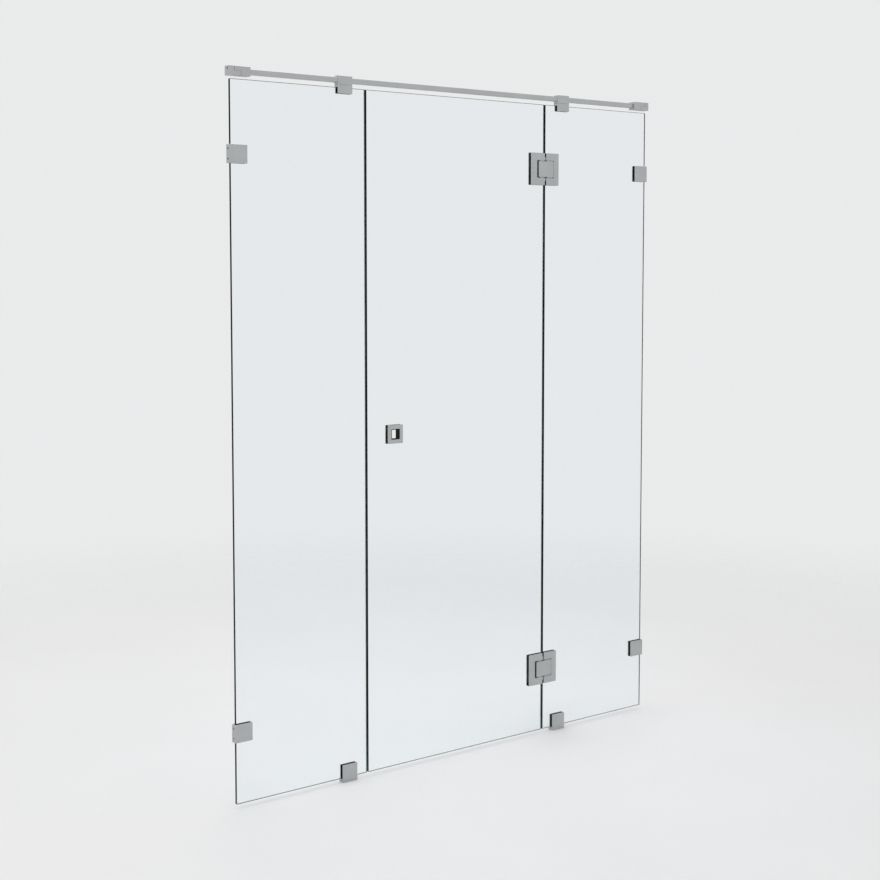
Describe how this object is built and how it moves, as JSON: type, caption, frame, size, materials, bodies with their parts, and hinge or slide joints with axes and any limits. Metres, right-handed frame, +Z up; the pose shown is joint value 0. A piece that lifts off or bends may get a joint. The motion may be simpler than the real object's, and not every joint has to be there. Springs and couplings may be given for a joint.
{
  "type": "shower door",
  "caption": "Frameless clear-glass shower front for a niche: an outward-swinging door on plate hinges between fixed panels, with a finger pull, wall and floor clamps and a stabiliser bar.",
  "frame": {"origin": "on the floor, in the middle of the niche, in the mid-plane of the glass", "axes": "+X from the left wall to the right wall seen from outside, +Y into the shower, +Z up"},
  "size_m": [1.6, 0.026, 2.0335],
  "materials": {
    "clear_glass": "clear toughened glass, 8 mm, polished edges",
    "satin_steel": "satin stainless, fine brushed grain",
    "fastener_steel": "plain stainless fasteners",
    "black_rubber": "matt black rubber",
    "black_plastic": "matt black moulded plastic",
    "bearing_plastic": "dark grey acetal"
  },
  "bodies": {
    "fixed_screen": {"bar_lap_screws": "fastener_steel", "bar_sleeve_set_screws": "fastener_steel", "bar_socket_set_screws": "fastener_steel", "clip_gaskets": "black_rubber", "clip_grub_screws": "fastener_steel", "clip_joining_screws": "fastener_steel", "fixed_leaf_gaskets": "black_rubber", "fixed_leaf_screws": "fastener_steel", "floor_clamp_bushings": "bearing_plastic", "floor_clamp_gaskets": "black_rubber", "floor_clamp_screws": "fastener_steel", "floor_setting_pads": "black_rubber", "hinge_bushes": "bearing_plastic", "left_bar_sleeve": "satin_steel", "left_bar_socket": "satin_steel", "left_bar_wall_base": "satin_steel", "left_fixed_glass": "clear_glass", "left_floor_clamp": "satin_steel", "left_floor_clamp_back_plate": "satin_steel", "left_glass_clip": "satin_steel", "lower_fixed_leaf": "satin_steel", "lower_fixed_leaf_back_plate": "satin_steel", "lower_hinge_block": "satin_steel", "lower_left_wall_clamp": "satin_steel", "lower_left_wall_clamp_back_plate": "satin_steel", "lower_right_wall_clamp": "satin_steel", "lower_right_wall_clamp_back_plate": "satin_steel", "right_bar_sleeve": "satin_steel", "right_bar_socket": "satin_steel", "right_bar_wall_base": "satin_steel", "right_fixed_glass": "clear_glass", "right_floor_clamp": "satin_steel", "right_floor_clamp_back_plate": "satin_steel", "right_glass_clip": "satin_steel", "stabiliser_bar": "satin_steel", "upper_fixed_leaf": "satin_steel", "upper_fixed_leaf_back_plate": "satin_steel", "upper_hinge_block": "satin_steel", "upper_left_wall_clamp": "satin_steel", "upper_left_wall_clamp_back_plate": "satin_steel", "upper_right_wall_clamp": "satin_steel", "upper_right_wall_clamp_back_plate": "satin_steel", "wall_clamp_bushings": "bearing_plastic", "wall_clamp_gaskets": "black_rubber", "wall_clamp_screws": "fastener_steel"},
    "door": {"door_glass": "clear_glass", "door_leaf_gaskets": "black_rubber", "door_leaf_screws": "fastener_steel", "hinge_pin_set_screws": "fastener_steel", "lower_door_leaf": "satin_steel", "lower_door_leaf_back_plate": "satin_steel", "lower_hinge_pin": "fastener_steel", "pull_gaskets": "black_rubber", "pull_inner_ring": "satin_steel", "pull_liner": "black_plastic", "pull_outer_ring": "satin_steel", "pull_screws": "fastener_steel", "upper_door_leaf": "satin_steel", "upper_door_leaf_back_plate": "satin_steel", "upper_hinge_pin": "fastener_steel"}
  },
  "joints": [
    {"name": "door_swing", "type": "hinge", "parent": "fixed_screen", "child": "door", "pos_m": [0.344, -0.0045, 1.006], "axis": [0, 0, 1], "range_deg": [0, 90]}
  ]
}
